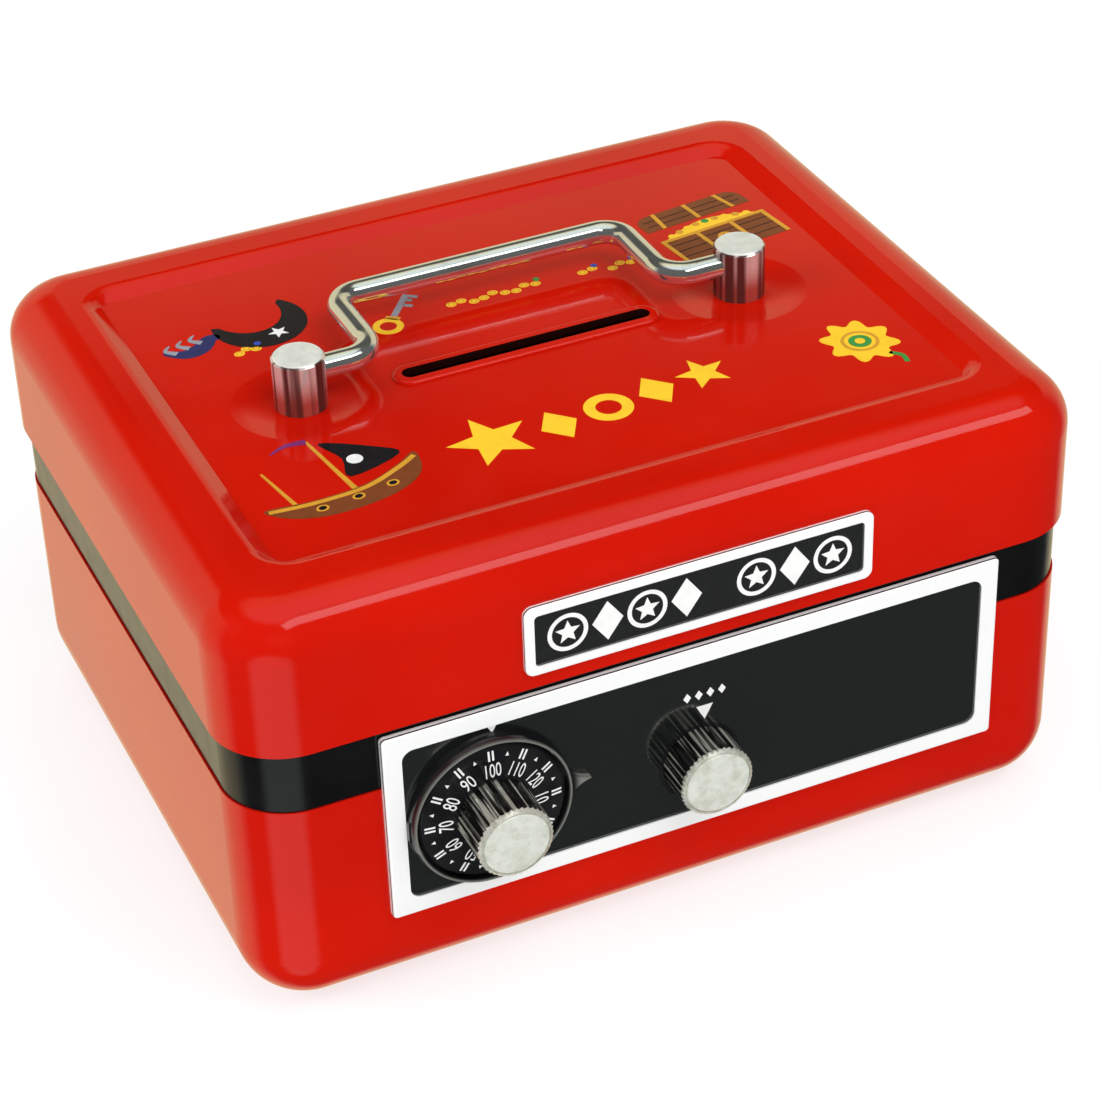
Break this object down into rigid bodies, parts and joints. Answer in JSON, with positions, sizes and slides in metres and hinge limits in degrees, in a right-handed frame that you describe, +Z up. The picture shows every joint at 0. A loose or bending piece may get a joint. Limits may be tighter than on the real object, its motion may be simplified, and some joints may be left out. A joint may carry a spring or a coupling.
{
  "type": "cash box coin bank",
  "caption": "Rectangular pressed-steel coin bank with a hinged lid, coin slot, bail handle, combination dial, push latch and lift-out coin tray.",
  "frame": {"origin": "centre of the flat underside of the base, without the knobs and the hinge", "axes": "+X to the right seen from the front, +Y to the hinge at the back, +Z up out of the lid"},
  "size_m": [0.152, 0.1386, 0.0874],
  "materials": {
    "red_enamel": "glossy baked enamel",
    "black_collar": "gloss black",
    "faceplate_print": "fine-textured black print with a silver border",
    "nameplate_print": "satin black print with a silver border",
    "black_gloss_plastic": "polished black",
    "handle_chrome": "bright chrome plate",
    "knob_chrome": "dark chrome plate, knurled",
    "satin_cap": "satin spun disc",
    "hinge_steel": "black enamel on rolled steel",
    "plated_steel": "zinc plate",
    "turned_steel": "turned bright steel",
    "spring_steel": "oiled spring steel",
    "bush_brass": "turned brass",
    "tray_plastic": "fine matte moulded black"
  },
  "bodies": {
    "base": {"base_shell": "red_enamel", "inner_collar": "black_collar", "faceplate": "faceplate_print", "dial_bezel": "black_gloss_plastic", "dial_bush": "bush_brass", "dial_bush_nut": "plated_steel", "spindle_washer": "spring_steel", "push_bush": "black_gloss_plastic", "lock_bracket": "plated_steel", "lock_rivets": "plated_steel", "hinge_leaf_base": "hinge_steel", "hinge_rivets_base": "hinge_steel", "hinge_pin": "hinge_steel"},
    "lid": {"lid_shell": "red_enamel", "nameplate": "nameplate_print", "handle_post_left": "handle_chrome", "handle_post_right": "handle_chrome", "post_screws": "plated_steel", "post_washers": "plated_steel", "lid_catch": "plated_steel", "catch_rivets": "plated_steel", "hinge_leaf_lid": "hinge_steel", "hinge_rivets_lid": "hinge_steel"},
    "handle": {"handle_bail": "handle_chrome"},
    "dial": {"dial_disc": "black_gloss_plastic", "dial_knob": "knob_chrome", "dial_knob_cap": "satin_cap", "dial_spindle": "turned_steel", "lock_wheel": "plated_steel", "spindle_clip": "spring_steel"},
    "push": {"push_knob": "knob_chrome", "push_knob_cap": "satin_cap", "push_rod": "turned_steel", "latch_plate": "plated_steel", "push_spring": "spring_steel", "rod_clip": "spring_steel"},
    "tray": {"coin_tray": "tray_plastic"}
  },
  "joints": [
    {"name": "lid_hinge", "type": "hinge", "parent": "base", "child": "lid", "pos_m": [0, 0.0635, 0.05243], "axis": [-1, 0, 0], "range_deg": [0, 100], "deforming": ["lid_catch"]},
    {"name": "handle_swing", "type": "hinge", "parent": "lid", "child": "handle", "pos_m": [0, -0.0017, 0.084], "axis": [1, 0, 0], "range_deg": [0, 180]},
    {"name": "dial_turn", "type": "hinge", "parent": "base", "child": "dial", "pos_m": [-0.035, -0.062, 0.0342], "axis": [0, 1, 0], "continuous": true},
    {"name": "push_slide", "type": "slide", "parent": "base", "child": "push", "axis": [0, 1, 0], "range_m": [0, 0.0035], "stiffness_N_per_m": 300, "deforming": ["push_spring"]},
    {"name": "tray_lift", "type": "slide", "parent": "base", "child": "tray", "axis": [0, 0, 1], "range_m": [0, 0.012]}
  ]
}
